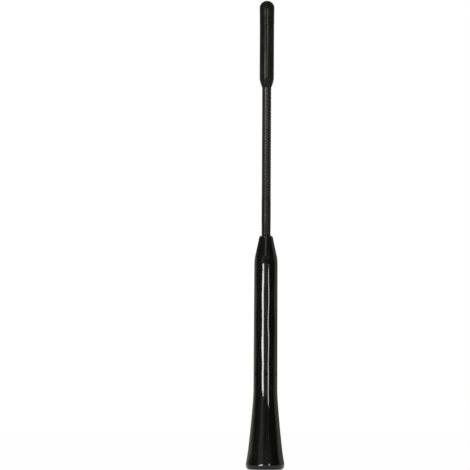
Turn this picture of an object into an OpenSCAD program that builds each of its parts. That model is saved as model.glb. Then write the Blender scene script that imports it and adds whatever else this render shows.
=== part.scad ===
// Car mast aerial: a screw-on whip with a flared base, a ribbed mast and a domed tip.
// It stands on its foot, with Z up along the mast and the origin at the foot's centre.

/* [Base shell] */
// Height of the base shell from its foot to its mouth
shell_h = 119.8; // [112:0.1:130]
// Widest diameter, just above the foot
foot_d = 19.8; // [19.2:0.02:22]
// Radius of the rounded edge around the foot
foot_edge_r = 2.4; // [1:0.1:2.6]
// Diameter of the barrel where the flare begins
barrel_d = 12.24; // [11.9:0.02:12.6]
// Diameter of the barrel just under its shoulder
shoulder_d = 11.95; // [11.2:0.05:12.2]
// Height of the start of the flare above the foot
flare_h = 42.6; // [39:0.1:46]
// Radius of the tight curve that turns the barrel into the flare
flare_top_r = 110; // [80:1:150]
// Lean of the flare's wall where its tight curve ends, in degrees
flare_top_lean = 4.4; // [4:0.1:5.2]
// Radius of the flare's long curve, below its tight one
flare_long_r = 650; // [500:10:900]
// Height where the long curve ends and the foot's own spread begins
spread_h = 11; // [9:0.5:14]
// Length of the neck, from the start of the shoulder's curve to the mouth
neck_l = 14.6; // [12:0.1:18]
// Radius of the shoulder's curve
shoulder_r = 22; // [12:0.5:28]
// Radius of the rounded edge around the mouth
mouth_edge_r = 1.1; // [0.8:0.05:1.6]
// Width of the flat ring between the mouth's bore and its rounded edge
mouth_flat = 0.04; // [0.02:0.01:0.4]
// Diameter of the round recess in the foot
recess_d = 12.4; // [11.8:0.1:14]
// Depth of the recess in the foot
recess_depth = 2.4; // [2:0.1:3]

/* [Pin marks] */
// Number of small marks around the shell
mark_count = 6; // [3:1:8]
// Height of the marks above the foot
mark_h = 48.9; // [47:0.1:52]
// Width of one mark
mark_w = 0.8; // [0.6:0.05:1.2]
// Length of one mark along the mast
mark_l = 1.25; // [1.2:0.05:2]
// Depth of one mark
mark_depth = 1.1; // [0.5:0.05:1.4]
// Turn of the first mark from the front, in degrees
mark_turn = 5; // [0:1:30]

/* [Threaded socket] */
// Length of the socket, from its flange to its top
socket_l = 52.8; // [50:0.1:56]
// Diameter of the socket's flange
flange_d = 11.2; // [10.4:0.1:11.6]
// Thickness of the socket's flange
flange_t = 1.2; // [0.8:0.1:1.6]
// Diameter of the socket's body
socket_d = 8.4; // [7.6:0.1:8.8]
// Length of the socket's thick body, from its flange to its neck
socket_body_l = 38.8; // [30:0.1:42]
// Diameter of the socket's neck, where the mast is crimped
socket_neck_d = 6.8; // [6.4:0.1:7.2]
// Diameter of the drilled thread, an M5 hole at its minor diameter
thread_d = 4.2; // [4.1:0.05:4.3]
// Depth of the threaded hole
thread_depth = 14; // [12:0.5:18]
// Depth of the bevel around the threaded hole's mouth
thread_bevel = 0.5; // [0.3:0.05:0.8]
// Point angle of the drill that made the hole, in degrees
drill_angle = 118; // [90:1:140]
// Number of grooves that hold the socket in the shell
groove_count = 2; // [1:1:3]
// Width of one groove
groove_w = 1.5; // [1:0.1:2]
// Depth of one groove
groove_depth = 0.5; // [0.3:0.05:0.8]
// Distance between two grooves
groove_pitch = 12; // [6:0.5:12]
// Height of the first groove above the flange
groove_h = 11; // [8:0.5:12]

/* [Mast] */
// Length of the mast that shows between the shell and the tip
mast_l = 75.9; // [70:0.1:80]
// Diameter of the sheath over its ribs
sheath_d = 4.7; // [4.4:0.05:4.8]
// Height of one rib over the sheath's grooves
rib_h = 0.12; // [0.05:0.01:0.18]
// Diameter of the rod
rod_d = 2.3; // [2:0.05:2.4]
// Diameter of the winding's wire
wire_d = 0.5; // [0.4:0.02:0.52]
// Pitch of the open turns inside the shell
lead_pitch = 3; // [2.6:0.1:3.4]
// Number of open turns just above the shell's mouth
low_turns = 4; // [2:1:4]
// Pitch of the open turns just above the shell's mouth
low_pitch = 1.7; // [1.4:0.05:1.8]
// Number of turns that lie side by side
close_turns = 21; // [12:1:21]
// Number of turns of even pitch above them
even_turns = 29; // [20:1:29]
// Pitch of those turns
even_pitch = 1.455; // [1.2:0.005:1.5]
// Pitch of the last turns, inside the tip
top_pitch = 2.45; // [2.2:0.05:2.8]
// Number of turns over which the pitch grows
spread_turns = 7; // [4:1:7]

/* [Ferrule] */
// Length of the ferrule on the rod's lower end
ferrule_l = 18; // [14:0.5:20]
// Wall of the ferrule
ferrule_wall = 0.95; // [0.7:0.05:1]
// Depth of the ferrule's seat in the socket's neck
ferrule_seat = 10; // [8:0.5:12]
// Number of crimps pressed into the ferrule
crimp_count = 3; // [1:1:3]
// Width of one crimp
crimp_w = 1.2; // [0.8:0.1:1.6]
// Depth of one crimp
crimp_depth = 0.2; // [0.1:0.05:0.4]
// Distance between two crimps
crimp_pitch = 2.4; // [2:0.1:3]
// Height of the first crimp above the ferrule's lower end
crimp_h = 1.4; // [0.8:0.1:2]
// Height of the solder joint on top of the ferrule
solder_h = 1.4; // [1:0.1:2]
// Diameter of the solder joint's upper end
solder_top_d = 3.4; // [3:0.1:3.8]

/* [Tip] */
// Length of the tip's sleeve
sleeve_l = 32.1; // [28:0.1:36]
// Diameter of the tip's sleeve
sleeve_d = 7.32; // [7:0.02:7.4]
// Length of the sleeve's taper at its lower end
taper_l = 4.2; // [3:0.1:6]
// Radius of the taper's slight curve
taper_r = 24; // [12:1:60]
// Width of the flat lip between the sleeve's bore and its taper
lip_flat = 0.05; // [0.03:0.01:0.4]
// Length of the cap, from the seam to the top of its dome
cap_l = 12.2; // [11:0.1:14]
// Diameter of the cap at the seam
cap_d = 7.44; // [7.42:0.02:7.56]
// Diameter of the cap's dome, where it swells
dome_d = 7.58; // [7.56:0.02:7.8]
// Length of the swell under the dome
swell_l = 4.5; // [3:0.1:5]
// Size of the bevel on the cap's edge at the seam
seam_bevel = 0.12; // [0.05:0.01:0.2]
// Diameter of the cap's spigot inside the sleeve
spigot_d = 5.9; // [5.6:0.05:6.1]
// Length of the cap's spigot
spigot_l = 5; // [3:0.1:7]
// Depth of the mast's end inside the cap, above the seam
mast_end_h = 1.8; // [1:0.1:3]

/* [Fits] */
// Clearance around each piece that is held in another
fit_gap = 0.05; // [0.03:0.01:0.08]
// Clearance between two turns that lie side by side, and at the ends of the mast
end_gap = 0.05; // [0.04:0.01:0.1]

/* [Hidden] */
$fn = 96;

// Facets of the mast's two coiled shapes
sheath_sides = 14;
sheath_steps = 7;
wire_sides = 5;
wire_steps = 8;
arc_steps = 8;

// Radii that follow from the diameters above
bore_r = sheath_d / 2 + fit_gap;
rod_r = rod_d / 2;
wire_r = wire_d / 2;
ferrule_bore_r = rod_r + fit_gap;
thread_r = thread_d / 2;
ferrule_r = ferrule_bore_r + ferrule_wall;
// The wire's straight facets dip towards the rod between two corners, so its centre lies a little further out
coil_r = (rod_r + fit_gap / 2 + wire_r) / cos(180 / wire_steps);
sheath_bore_r = coil_r + wire_r + fit_gap;

// Heights that follow from the lengths above
socket_z = recess_depth - flange_t;
socket_top = socket_z + socket_l;
socket_neck_z = socket_z + flange_t + socket_body_l;
ferrule_z = socket_top - ferrule_seat;
ferrule_top = ferrule_z + ferrule_l;
solder_top = ferrule_top + solder_h;
tip_z = shell_h + mast_l;
seam_z = tip_z + sleeve_l;
mast_end = seam_z + mast_end_h;
sheath_z = solder_top + end_gap;

// Pitch of turns that lie side by side
close_pitch = wire_d + end_gap;
// The winding's turns from its lower end up, each entry being a count of turns, its first pitch and its last
coil_z = solder_top + wire_r + end_gap;
coil_end = mast_end - wire_r - end_gap;
lead_turns = (shell_h - coil_z) / lead_pitch;
upper_z = shell_h + low_turns * low_pitch + close_turns * close_pitch + even_turns * even_pitch
    + spread_turns * (even_pitch + top_pitch) / 2;
coil_plan = [
    [lead_turns, lead_pitch, lead_pitch],
    [low_turns, low_pitch, low_pitch],
    [close_turns, close_pitch, close_pitch],
    [even_turns, even_pitch, even_pitch],
    [spread_turns, even_pitch, top_pitch],
    [(coil_end - upper_z) / top_pitch, top_pitch, top_pitch]
];
coil_turns = plan_turns(coil_plan, len(coil_plan));

// Turns in the plan's first n entries
function plan_turns(plan, n) = n == 0 ? 0 : plan[n - 1][0] + plan_turns(plan, n - 1);

// Climb of one entry of the plan after t turns of it
function entry_rise(entry, t) = entry[1] * t + (entry[2] - entry[1]) * t * t / (2 * entry[0]);

// Climb of the plan after t turns, counted from its entry i
function plan_rise(plan, t, i = 0) =
    i == len(plan) - 1 || t <= plan[i][0] ? entry_rise(plan[i], t)
    : entry_rise(plan[i], plan[i][0]) + plan_rise(plan, t - plan[i][0], i + 1);

// Height of the winding's centre after t turns
function coil_height(t) = coil_z + plan_rise(coil_plan, t);

// Outline of the shell's outside: the barrel's lean, and the knee where the flare's tight curve ends
shoulder_z = shell_h - neck_l;
barrel_lean = atan((barrel_d - shoulder_d) / 2 / (shoulder_z - flare_h));
flare_knee = [barrel_d / 2 + flare_top_r * (cos(barrel_lean) - cos(flare_top_lean)),
    flare_h - flare_top_r * (sin(flare_top_lean) - sin(barrel_lean))];

// The flare's long curve runs on from the knee to the height where the foot's spread begins
knee_normal = [cos(flare_top_lean), sin(flare_top_lean)];
flare_centre = flare_knee + flare_long_r * knee_normal;
spread_lean = asin((flare_centre[1] - spread_h) / flare_long_r);
spread_start = flare_centre - flare_long_r * [cos(spread_lean), sin(spread_lean)];

// The spread leaves the long curve at its lean there and touches the foot's rounded edge
foot_centre = [foot_d / 2 - foot_edge_r, foot_edge_r];
spread_normal = [cos(spread_lean), sin(spread_lean)];
spread_offset = spread_start - foot_centre;
spread_r = (spread_offset * spread_offset - foot_edge_r * foot_edge_r)
    / (2 * (foot_edge_r - spread_offset * spread_normal));
spread_centre = spread_start + spread_r * spread_normal;
foot_lean = bearing(foot_centre, spread_centre);

// The neck's cone touches both the shoulder's curve and the mouth's rounded edge
shoulder = [shoulder_d / 2, shoulder_z];
shoulder_centre = shoulder - shoulder_r * [cos(barrel_lean), sin(barrel_lean)];
mouth_centre = [bore_r + mouth_flat, shell_h - mouth_edge_r];
neck_lean = bearing(shoulder_centre, mouth_centre)
    - acos((shoulder_r - mouth_edge_r) / norm(mouth_centre - shoulder_centre));

// Direction of point p from point c, in degrees
function bearing(c, p) = atan2(p[1] - c[1], p[0] - c[0]);

// Points of an arc about centre c, from angle a to angle b, with its first point left out where from is 1
function arc(c, r, a, b, from = 0) = [
    for (i = [from : arc_steps])
        let (t = a + (b - a) * i / arc_steps)
            c + r * [cos(t), sin(t)]
];

shell_outline = concat(
    arc(foot_centre, foot_edge_r, -90, foot_lean),
    arc(spread_centre, spread_r, 180 + foot_lean, 180 + spread_lean, 1),
    arc(flare_centre, flare_long_r, 180 + spread_lean, 180 + flare_top_lean, 1),
    arc(flare_knee + flare_top_r * knee_normal, flare_top_r, 180 + flare_top_lean, 180 + barrel_lean, 1),
    arc(shoulder_centre, shoulder_r, barrel_lean, neck_lean),
    arc(mouth_centre, mouth_edge_r, neck_lean, 90)
);

// Radius of the barrel's wall at height z
function barrel_r(z) = shoulder[0] + (shoulder_z - z) * tan(barrel_lean);

// Outline of the socket's body and neck, from its top down to its flange, grown by gap
function socket_outline(gap) = concat(
    [[socket_neck_d / 2 + gap, socket_top], [socket_neck_d / 2 + gap, socket_neck_z + gap],
        [socket_d / 2 + gap, socket_neck_z + gap]],
    [for (i = [groove_count - 1 : -1 : 0])
        let (z = recess_depth + groove_h + i * groove_pitch)
            each [
                [socket_d / 2 + gap, z + groove_w - gap], [socket_d / 2 - groove_depth + gap, z + groove_w - gap],
                [socket_d / 2 - groove_depth + gap, z + gap], [socket_d / 2 + gap, z + gap]
            ]],
    [[socket_d / 2 + gap, recess_depth]]
);

// Outline of the sleeve's taper, from its lower lip up to the straight wall
lip = [bore_r + lip_flat, tip_z];
taper_top = [sleeve_d / 2, tip_z + taper_l];
taper_chord = taper_top - lip;
taper_sag = sqrt(taper_r * taper_r - taper_chord * taper_chord / 4) / norm(taper_chord);
taper_centre = (lip + taper_top) / 2 + taper_sag * [-taper_chord[1], taper_chord[0]];
taper_arc = arc(taper_centre, taper_r, bearing(taper_centre, lip), bearing(taper_centre, taper_top));

// Outline of the cap's outside above the seam: a smooth swell, then the dome
dome_r = dome_d / 2;
dome_z = seam_z + cap_l - dome_r;
swell = [for (i = [0 : arc_steps - 1])
    let (t = i / arc_steps)
        [cap_d / 2 + (dome_d - cap_d) * (1 - cos(180 * t)) / 4, dome_z - swell_l * (1 - t)]];
dome_steps = 16;
dome = [for (i = [0 : dome_steps]) [i < dome_steps ? dome_r * cos(90 * i / dome_steps) : 0,
    dome_z + dome_r * sin(90 * i / dome_steps)]];

// One dimple: a slot with round ends, cut radially into the shell from its wall at that height
module pin_mark() {
    half_run = (mark_l - mark_w) / 2;
    translate([0, mark_depth - barrel_r(mark_h), mark_h])
        rotate([90, 0, 0])
            union() {
                for (side = [-1, 1])
                    translate([0, side * half_run, 0])
                        cylinder(d = mark_w, h = 2 * mark_depth, $fn = 24);
                translate([-mark_w / 2, -half_run, 0])
                    cube([mark_w, 2 * half_run, 2 * mark_depth]);
            }
}

// Moulded shell: recess and seat for the socket below, a bore for the mast above
module base_shell() {
    color("#0c0c0d")
        difference() {
            rotate_extrude()
                polygon(concat(
                    [[recess_d / 2, 0]],
                    shell_outline,
                    [[bore_r, shell_h], [bore_r, socket_top]],
                    socket_outline(fit_gap),
                    [[recess_d / 2, recess_depth]]
                ));
            for (i = [0 : mark_count - 1])
                rotate([0, 0, mark_turn + i * 360 / mark_count])
                    pin_mark();
        }
}

// Turned brass core, threaded from below and bored from above for the ferrule
module threaded_socket() {
    color("#c9a24e")
        difference() {
            rotate_extrude()
                polygon(concat(
                    [[0, socket_z], [flange_d / 2, socket_z], [flange_d / 2, recess_depth]],
                    [for (i = [len(socket_outline(0)) - 1 : -1 : 0]) socket_outline(0)[i]],
                    [[0, socket_top]]
                ));
            translate([0, 0, socket_z])
                rotate_extrude()
                    polygon([
                        [0, -1], [thread_r + thread_bevel + 1, -1], [thread_r, thread_bevel],
                        [thread_r, thread_depth], [0, thread_depth + thread_r / tan(drill_angle / 2)]
                    ]);
            translate([0, 0, ferrule_z])
                cylinder(r = ferrule_r + fit_gap, h = ferrule_seat + 1);
        }
}

// Tube crimped on the rod's lower end, with the crimps as shallow grooves with sloping sides
module crimp_ferrule() {
    slope = crimp_depth;
    color("#b8bcc0")
        translate([0, 0, ferrule_z])
            rotate_extrude()
                polygon(concat(
                    [[ferrule_bore_r, 0], [ferrule_r, 0]],
                    [for (i = [0 : crimp_count - 1])
                        let (z = crimp_h + i * crimp_pitch)
                            each [
                                [ferrule_r, z], [ferrule_r - crimp_depth, z + slope],
                                [ferrule_r - crimp_depth, z + crimp_w - slope], [ferrule_r, z + crimp_w]
                            ]],
                    [[ferrule_r, ferrule_l], [ferrule_bore_r, ferrule_l]]
                ));
}

// Solder that joins the wire's end to the ferrule
module solder_joint() {
    color("#a9adb2")
        rotate_extrude()
            polygon([
                [ferrule_bore_r, ferrule_top], [ferrule_r, ferrule_top],
                [solder_top_d / 2, solder_top], [ferrule_bore_r, solder_top]
            ]);
}

// Glass-fibre rod that carries the winding
module core_rod() {
    color("#d8d3b8")
        translate([0, 0, ferrule_z])
            cylinder(d = rod_d, h = mast_end - ferrule_z - end_gap);
}

// Closed surface through rings of points, the first and last ring being its flat ends
module skin(rings) {
    sides = len(rings[0]);
    last = len(rings) - 1;
    polyhedron(
        points = [for (ring = rings) each ring],
        faces = concat(
            [[for (j = [0 : sides - 1]) j]],
            [for (k = [0 : last - 1], j = [0 : sides - 1])
                let (a = k * sides + j, b = k * sides + (j + 1) % sides)
                    each [[a, a + sides, b], [b, a + sides, b + sides]]],
            [[for (j = [sides - 1 : -1 : 0]) last * sides + j]]
        )
    );
}

// Copper wire wound around the rod
module winding() {
    steps = ceil(coil_turns * wire_steps);
    color("#b87333")
        skin([for (k = [0 : steps])
            let (t = coil_turns * k / steps, a = 360 * t, z = coil_height(t))
                [for (j = [0 : wire_sides - 1])
                    let (s = 360 * j / wire_sides, r = coil_r + wire_r * cos(s))
                        [r * cos(a), r * sin(a), z + wire_r * sin(s)]]]);
}

// Depth of the sheath's groove at p, a share of one turn away from the wire
function groove_at(p) = rib_h * (1 - pow(0.5 + 0.5 * cos(360 * p), 1.5));

// Share of the grooves' depth after t turns: they fade out over one turn at the ends of each ribbed stretch
function groove_share(t, stretch) = min(1, max(0, t - stretch[0]), max(0, stretch[1] - t));

// Ring of the sheath's outer surface at height z, with its grooves at the given share of their depth
function sheath_ring(z, t, share) = [
    for (j = [0 : sheath_sides - 1])
        let (a = 360 * j / sheath_sides, r = sheath_d / 2 - share * groove_at(t - j / sheath_sides))
            [r * cos(a), r * sin(a), z]
];

// Rubber sheath drawn over the winding, with a rib over each open turn and plain over the close ones
module whip_sleeve() {
    low_top = lead_turns + low_turns;
    high_foot = low_top + close_turns;
    stretches = [
        [lead_turns - 1, low_top],
        [high_foot, high_foot + even_turns + spread_turns + 1]
    ];
    color("#1d1c1b")
        difference() {
            skin(concat(
                [sheath_ring(sheath_z, 0, 0)],
                [for (stretch = stretches, k = [0 : round((stretch[1] - stretch[0]) * sheath_steps)])
                    let (t = stretch[0] + k / sheath_steps)
                        sheath_ring(coil_height(t), t, groove_share(t, stretch))],
                [sheath_ring(mast_end, 0, 0)]
            ));
            translate([0, 0, sheath_z - 1])
                cylinder(r = sheath_bore_r, h = mast_end - sheath_z + 2);
        }
}

// Sleeve of the tip, with a counterbore for the cap's spigot
module tip_sleeve() {
    color("#1b1c1a")
        rotate_extrude()
            polygon(concat(
                [[bore_r, tip_z]],
                taper_arc,
                [[sleeve_d / 2, seam_z], [spigot_d / 2 + fit_gap, seam_z],
                    [spigot_d / 2 + fit_gap, seam_z - spigot_l - end_gap], [bore_r, seam_z - spigot_l - end_gap]]
            ));
}

// Domed cap, with a spigot that holds the mast's end
module tip_cap() {
    color("#1b1c1a")
        rotate_extrude()
            polygon(concat(
                [[bore_r, seam_z - spigot_l], [spigot_d / 2, seam_z - spigot_l], [spigot_d / 2, seam_z],
                    [cap_d / 2 - seam_bevel, seam_z], [cap_d / 2, seam_z + seam_bevel]],
                swell,
                dome,
                [[0, mast_end + end_gap], [bore_r, mast_end + end_gap]]
            ));
}

base_shell();
threaded_socket();
crimp_ferrule();
solder_joint();
core_rod();
winding();
whip_sleeve();
tip_sleeve();
tip_cap();
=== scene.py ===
"""Dresses the packed car mast aerial: its turned, ribbed and wound pieces, their finishes, and a pale studio."""

import math

import bpy
from bpy.props import FloatProperty, FloatVectorProperty, IntProperty, PointerProperty
from mathutils import Matrix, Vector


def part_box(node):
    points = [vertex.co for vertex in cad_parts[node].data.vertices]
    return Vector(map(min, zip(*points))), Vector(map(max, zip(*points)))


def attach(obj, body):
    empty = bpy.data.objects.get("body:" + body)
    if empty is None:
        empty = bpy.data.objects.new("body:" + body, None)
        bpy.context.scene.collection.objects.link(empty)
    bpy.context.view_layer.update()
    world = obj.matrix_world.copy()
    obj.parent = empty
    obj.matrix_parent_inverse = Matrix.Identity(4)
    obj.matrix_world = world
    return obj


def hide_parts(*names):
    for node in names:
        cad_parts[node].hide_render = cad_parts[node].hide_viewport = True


bl_info = {
    "name": "Car Mast Aerial",
    "version": (1, 0, 0),
    "blender": (4, 5, 0),
    "location": "3D View > Sidebar > Aerial",
    "description": "Builds a short screw-on car aerial with a ribbed mast, and the studio that it stands in",
    "category": "Object",
}

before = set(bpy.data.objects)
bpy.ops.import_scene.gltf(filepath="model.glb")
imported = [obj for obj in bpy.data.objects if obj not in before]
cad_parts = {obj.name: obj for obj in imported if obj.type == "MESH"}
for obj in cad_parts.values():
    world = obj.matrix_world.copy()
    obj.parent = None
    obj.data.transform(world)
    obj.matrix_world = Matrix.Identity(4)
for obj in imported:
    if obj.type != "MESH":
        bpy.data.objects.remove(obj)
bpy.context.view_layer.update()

SHELL_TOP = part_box("base_shell")[1]
SOCKET_FOOT, SOCKET_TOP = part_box("threaded_socket")
FERRULE_FOOT, FERRULE_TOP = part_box("crimp_ferrule")
SOLDER_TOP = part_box("solder_joint")[1]
SHEATH_FOOT, SHEATH_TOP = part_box("whip_sleeve")
TIP_FOOT, TIP_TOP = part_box("tip_sleeve")
CAP_FOOT, CAP_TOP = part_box("tip_cap")

TURN = 2 * math.pi
# Clearance around each piece that is held in another
FIT_GAP = 0.00005
# Bevel on the edges of the flange and of the tip's seam
FINE_BEVEL = 0.0001
# Distance under which a turned wall's points become one
WELD_GAP = 1e-7
WIRE_SIDES = 8
SENSOR_W = 36.0
# Columns and rows of a node tree's board, and the kind of socket that a default value asks for
COLUMN_W, ROW_H = 190, 170
SOCKET_KINDS = {int: "Int", float: "Float", tuple: "Color"}


def distance(name, default, description):
    """A length in metres, as a field of a panel."""
    return FloatProperty(
        name=name, description=description, default=default, min=0.0, precision=5, subtype="DISTANCE", unit="LENGTH"
    )


def turn_angle(name, default, description):
    """An angle, given in degrees and kept in radians."""
    return FloatProperty(
        name=name, description=description, default=math.radians(default), subtype="ANGLE", unit="ROTATION"
    )


def level(name, default, description):
    """A light level, at which 1 is white."""
    return FloatProperty(name=name, description=description, default=default, min=0.0)


def count(name, default, description):
    """A whole number of things."""
    return IntProperty(name=name, description=description, default=default, min=1)


def tint(name, default, description):
    """A colour that a user picks."""
    return FloatVectorProperty(
        name=name, description=description, default=default, size=3, min=0.0, max=1.0, subtype="COLOR"
    )


class ShellSizes(bpy.types.PropertyGroup):
    """Sizes of the flared base shell."""

    foot_edge_r: distance("Foot Edge Radius", 0.0024, "Radius of the rounded edge around the foot")
    barrel_d: distance("Barrel Diameter", 0.01224, "Diameter of the barrel where the flare begins")
    shoulder_d: distance("Shoulder Diameter", 0.01195, "Diameter of the barrel just under its shoulder")
    flare_h: distance("Flare Height", 0.0426, "Height of the start of the flare")
    flare_top_r: distance("Flare Top Radius", 0.11, "Radius of the curve that turns the barrel into the flare")
    flare_top_lean: turn_angle("Flare Lean", 4.4, "Lean of the flare's wall where its tight curve ends")
    flare_long_r: distance("Flare Long Radius", 0.65, "Radius of the long curve down the flare")
    spread_h: distance("Spread Height", 0.011, "Height under which the flare spreads more")
    land_r: distance("Land Radius", 0.02, "Radius of the almost upright band around the foot")
    land_lean: turn_angle("Land Lean", 1.9, "Lean of that band")
    land_half: turn_angle("Land Half Arc", 1.2, "Half the turn of that band's curve")
    land_rise: distance("Land Rise", 0.0002, "Height of that band's middle above the rounded edge's centre")
    neck_l: distance("Neck Length", 0.0146, "Length from the start of the shoulder's curve to the mouth")
    shoulder_r: distance("Shoulder Radius", 0.022, "Radius of the shoulder's curve")
    mouth_edge_r: distance("Mouth Edge Radius", 0.0011, "Radius of the rounded edge around the mouth")
    mouth_flat: distance("Mouth Flat", 0.00004, "Width of the flat ring between the bore and the rounded edge")
    bore_d: distance("Bore Diameter", 0.0048, "Diameter of the bore that the mast stands in")
    recess_d: distance("Recess Diameter", 0.0124, "Diameter of the round recess in the foot")
    recess_depth: distance("Recess Depth", 0.0024, "Depth of the recess in the foot")
    sides: count("Sides", 240, "Facets around the shell")


class MarkSizes(bpy.types.PropertyGroup):
    """Sizes of the small dimples around the shell."""

    number: count("Dimples", 6, "Number of dimples around the shell")
    height: distance("Dimple Height", 0.0489, "Height of the dimples above the foot")
    width: distance("Dimple Width", 0.0011, "Width of one dimple")
    length: distance("Dimple Length", 0.0015, "Length of one dimple along the mast")
    depth: distance("Dimple Depth", 0.0011, "Depth of one dimple")
    first: turn_angle("First Dimple", 5.0, "Turn of the first dimple from the front")


class SocketSizes(bpy.types.PropertyGroup):
    """Sizes of the turned socket and its thread."""

    flange_d: distance("Flange Diameter", 0.0112, "Diameter of the flange")
    flange_h: distance("Flange Height", 0.0012, "Height of the flange")
    body_d: distance("Body Diameter", 0.0084, "Diameter of the body")
    body_l: distance("Body Length", 0.0388, "Length of the body, from the flange to the neck")
    neck_d: distance("Neck Diameter", 0.0068, "Diameter of the neck, where the mast is crimped")
    minor_d: distance("Minor Diameter", 0.0042, "Diameter over the thread's crests")
    major_d: distance("Major Diameter", 0.005, "Diameter at the thread's roots")
    thread_pitch: distance("Thread Pitch", 0.0008, "Pitch of the thread")
    thread_depth: distance("Thread Depth", 0.014, "Depth of the threaded hole")
    thread_end: distance("Thread End", 0.0006, "Depth at the hole's bottom that has no thread")
    rim: distance("Hole Rim", 0.0002, "Width of the bevel around the hole's mouth")
    drill_angle: turn_angle("Drill Angle", 118.0, "Point angle of the drill that made the hole")
    groove_count: count("Grooves", 2, "Number of grooves that hold the socket in the shell")
    groove_w: distance("Groove Width", 0.0015, "Width of one groove")
    groove_depth: distance("Groove Depth", 0.0005, "Depth of one groove")
    groove_pitch: distance("Groove Pitch", 0.012, "Distance between two grooves")
    groove_h: distance("First Groove", 0.011, "Height of the first groove above the flange")


class MastSizes(bpy.types.PropertyGroup):
    """Sizes of the wound rod and its ribbed sheath."""

    rib_h: distance("Rib Height", 0.00007, "Height of one rib over the grooves")
    rod_d: distance("Rod Diameter", 0.0023, "Diameter of the rod")
    wire_d: distance("Wire Diameter", 0.0005, "Diameter of the wire")
    lead_pitch: distance("Lead Pitch", 0.003, "Pitch of the open turns inside the shell")
    low_turns: count("Low Turns", 4, "Number of open turns just above the shell")
    low_pitch: distance("Low Pitch", 0.0017, "Pitch of the open turns just above the shell")
    close_turns: count("Close Turns", 21, "Number of turns that lie side by side")
    close_pitch: distance("Close Pitch", 0.00055, "Pitch of the turns that lie side by side")
    even_turns: count("Even Turns", 29, "Number of turns of even pitch")
    even_pitch: distance("Even Pitch", 0.001455, "Pitch of those turns")
    spread_turns: count("Spread Turns", 7, "Number of turns over which the pitch grows")
    top_pitch: distance("Top Pitch", 0.00245, "Pitch of the last turns, inside the tip")


class TipSizes(bpy.types.PropertyGroup):
    """Sizes of the tip's sleeve and cap."""

    taper_l: distance("Taper Length", 0.0042, "Length of the sleeve's taper")
    corner_l: distance("Corner Length", 0.0009, "Length over which the top of the taper turns into the wall")
    taper_r: distance("Taper Radius", 0.024, "Radius of the taper's slight curve")
    lip_flat: distance("Lip Flat", 0.00005, "Width of the flat lip under the taper")
    cap_d: distance("Cap Diameter", 0.00744, "Diameter of the cap at the seam")
    swell_l: distance("Swell Length", 0.0045, "Length of the swell under the dome")
    seam_bevel: distance("Seam Bevel", 0.00012, "Size of the bevel on the cap's edge at the seam")
    spigot_d: distance("Spigot Diameter", 0.0059, "Diameter of the cap's spigot")
    spigot_l: distance("Spigot Length", 0.005, "Length of the cap's spigot")


class Finishes(bpy.types.PropertyGroup):
    """Colours of the aerial's materials."""

    shell: tint("Shell", (0.0029, 0.0028, 0.0019), "Glossy black of the base shell")
    sheath: tint("Sheath", (0.0074, 0.0061, 0.0042), "Brownish black of the sheath")
    sheath_worn: tint("Sheath Worn", (0.0125, 0.0106, 0.0078), "Paler tone of the sheath's worn patches")
    tip: tint("Tip", (0.0056, 0.0061, 0.0045), "Charcoal of the tip")
    tip_pale: tint("Tip Pale", (0.0102, 0.0112, 0.0083), "Paler charcoal of the tip's patches")
    brass: tint("Brass", (0.78, 0.58, 0.26), "Turned brass of the socket")
    copper: tint("Copper", (0.75, 0.33, 0.16), "Enamelled copper wire")
    tin: tint("Tinned Metal", (0.6, 0.6, 0.58), "Tinned ferrule")
    solder: tint("Solder", (0.52, 0.53, 0.54), "Dull grey solder")
    fibre: tint("Glass Fibre", (0.68, 0.63, 0.44), "Glass-fibre rod")


class StageSettings(bpy.types.PropertyGroup):
    """Camera, lights and background."""

    camera_gap: distance("Camera Distance", 6.0, "Distance from the mast's axis to the camera")
    frame_h: distance("Frame Height", 0.2405, "Height of the view at the mast")
    frame_x: distance("Frame Offset", 0.01589, "Distance of the mast's axis from the middle of the view")
    frame_drop: distance("Frame Drop", 0.0002, "Distance of the view's lower edge below the floor")
    roll: turn_angle("Roll", 0.25, "Lean of the mast to the right in the view")
    floor_r: distance("Floor Radius", 1.1, "Radius of the floor")
    left_level: level("Left Strip", 13.0, "Level of the left strip light")
    right_level: level("Right Strip", 11.0, "Level of the right strip light")
    mast_level: level("Mast Light", 2.2, "Level of the light beside the mast")
    tip_level: level("Tip Lights", 14.0, "Level of the small lights beside the tip")
    soft_level: level("Soft Level", 0.9, "Level of the even light from all around")


def column_of(node):
    """Column of the board that a node stands in."""
    return round(node.location.x / COLUMN_W)


def put(tree, kind, values=None, **settings):
    """A node to the right of what feeds it, with its settings, and its inputs set or linked by name or number."""
    node = tree.nodes.new(kind)
    for key, value in settings.items():
        setattr(node, key, value)
    column = 1
    for key, value in (values or {}).items():
        for source in value if isinstance(value, list) else [value]:
            if isinstance(source, bpy.types.NodeSocket):
                tree.links.new(source, node.inputs[key])
                column = max(column, column_of(source.node) + 1)
            else:
                node.inputs[key].default_value = source
    row = [column_of(other) for other in tree.nodes].count(column)
    node.location = (column * COLUMN_W, -row * ROW_H)
    return node


def out_of(tree, kind, values=None, **settings):
    """The first output of a new node."""
    return put(tree, kind, values, **settings).outputs[0]


def calc(tree, operation, *terms, clamp=False):
    """The result of one sum."""
    return out_of(tree, "ShaderNodeMath", dict(enumerate(terms)), operation=operation, use_clamp=clamp)


def vector(tree, x=0.0, y=0.0, z=0.0):
    """A vector from its three parts."""
    return out_of(tree, "ShaderNodeCombineXYZ", {0: x, 1: y, 2: z})


def named_value(tree, name):
    """A named value of each point."""
    return out_of(tree, "GeometryNodeInputNamedAttribute", {"Name": name}, data_type="FLOAT")


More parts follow.
